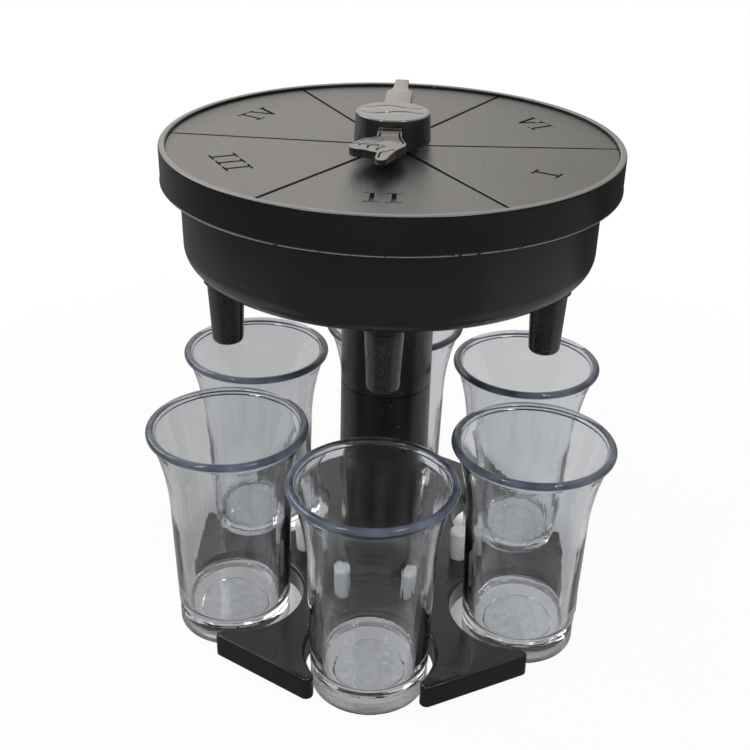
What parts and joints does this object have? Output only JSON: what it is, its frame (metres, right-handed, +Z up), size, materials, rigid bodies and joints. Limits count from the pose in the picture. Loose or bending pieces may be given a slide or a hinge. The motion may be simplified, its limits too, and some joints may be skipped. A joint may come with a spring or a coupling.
{
  "type": "party shot dispenser",
  "caption": "Tabletop drink dispenser: a bowl on a column fills a ring of shot glasses through nozzles, with a dial lid that carries a spinner.",
  "frame": {"origin": "centre of the base's underside, on the surface the dispenser stands on", "axes": "+Z up along the column; -Y towards the front glass; +X to the right seen from the front"},
  "size_m": [0.1328, 0.1462, 0.1511],
  "materials": {
    "black_plastic": "moulded black plastic, satin",
    "dial_plastic": "fine-textured black plastic",
    "gloss_black": "glossy black plastic",
    "washer_plastic": "smooth",
    "screw_steel": "zinc plated",
    "clear_plastic": "clear moulded plastic",
    "silicone": "translucent white silicone"
  },
  "bodies": {
    "base": {"base": "black_plastic", "column": "black_plastic", "column_screw": "screw_steel"},
    "bowl": {"bowl": "black_plastic"},
    "lid": {"lid": "dial_plastic", "spinner_washer": "washer_plastic", "spinner_screw": "screw_steel"},
    "spinner": {"pointer": "dial_plastic", "spinner_cap": "gloss_black"},
    "glass_1": {"glass_1": "clear_plastic"},
    "glass_2": {"glass_2": "clear_plastic"},
    "glass_3": {"glass_3": "clear_plastic"},
    "glass_4": {"glass_4": "clear_plastic"},
    "glass_5": {"glass_5": "clear_plastic"},
    "glass_6": {"glass_6": "clear_plastic"},
    "stopper_1": {"stopper_1": "silicone"},
    "stopper_2": {"stopper_2": "silicone"},
    "stopper_3": {"stopper_3": "silicone"},
    "stopper_4": {"stopper_4": "silicone"},
    "stopper_5": {"stopper_5": "silicone"},
    "stopper_6": {"stopper_6": "silicone"}
  },
  "joints": [
    {"name": "bowl_lift", "type": "slide", "parent": "base", "child": "bowl", "axis": [0, 0, 1], "range_m": [0, 0.035]},
    {"name": "lid_lift", "type": "slide", "parent": "bowl", "child": "lid", "axis": [0, 0, 1], "range_m": [0, 0.03]},
    {"name": "spinner_spin", "type": "hinge", "parent": "lid", "child": "spinner", "pos_m": [0, 0, 0.1468], "axis": [0, 0, 1], "continuous": true},
    {"name": "glass_1_lift", "type": "slide", "parent": "base", "child": "glass_1", "axis": [0, 0, 1], "range_m": [0, 0.02]},
    {"name": "glass_2_lift", "type": "slide", "parent": "base", "child": "glass_2", "axis": [0, 0, 1], "range_m": [0, 0.02]},
    {"name": "glass_3_lift", "type": "slide", "parent": "base", "child": "glass_3", "axis": [0, 0, 1], "range_m": [0, 0.02]},
    {"name": "glass_4_lift", "type": "slide", "parent": "base", "child": "glass_4", "axis": [0, 0, 1], "range_m": [0, 0.02]},
    {"name": "glass_5_lift", "type": "slide", "parent": "base", "child": "glass_5", "axis": [0, 0, 1], "range_m": [0, 0.02]},
    {"name": "glass_6_lift", "type": "slide", "parent": "base", "child": "glass_6", "axis": [0, 0, 1], "range_m": [0, 0.02]},
    {"name": "stopper_1_pull", "type": "slide", "parent": "base", "child": "stopper_1", "axis": [0, 0, 1], "range_m": [0, 0.012]},
    {"name": "stopper_2_pull", "type": "slide", "parent": "base", "child": "stopper_2", "axis": [0, 0, 1], "range_m": [0, 0.012]},
    {"name": "stopper_3_pull", "type": "slide", "parent": "base", "child": "stopper_3", "axis": [0, 0, 1], "range_m": [0, 0.012]},
    {"name": "stopper_4_pull", "type": "slide", "parent": "base", "child": "stopper_4", "axis": [0, 0, 1], "range_m": [0, 0.012]},
    {"name": "stopper_5_pull", "type": "slide", "parent": "base", "child": "stopper_5", "axis": [0, 0, 1], "range_m": [0, 0.012]},
    {"name": "stopper_6_pull", "type": "slide", "parent": "base", "child": "stopper_6", "axis": [0, 0, 1], "range_m": [0, 0.012]}
  ]
}
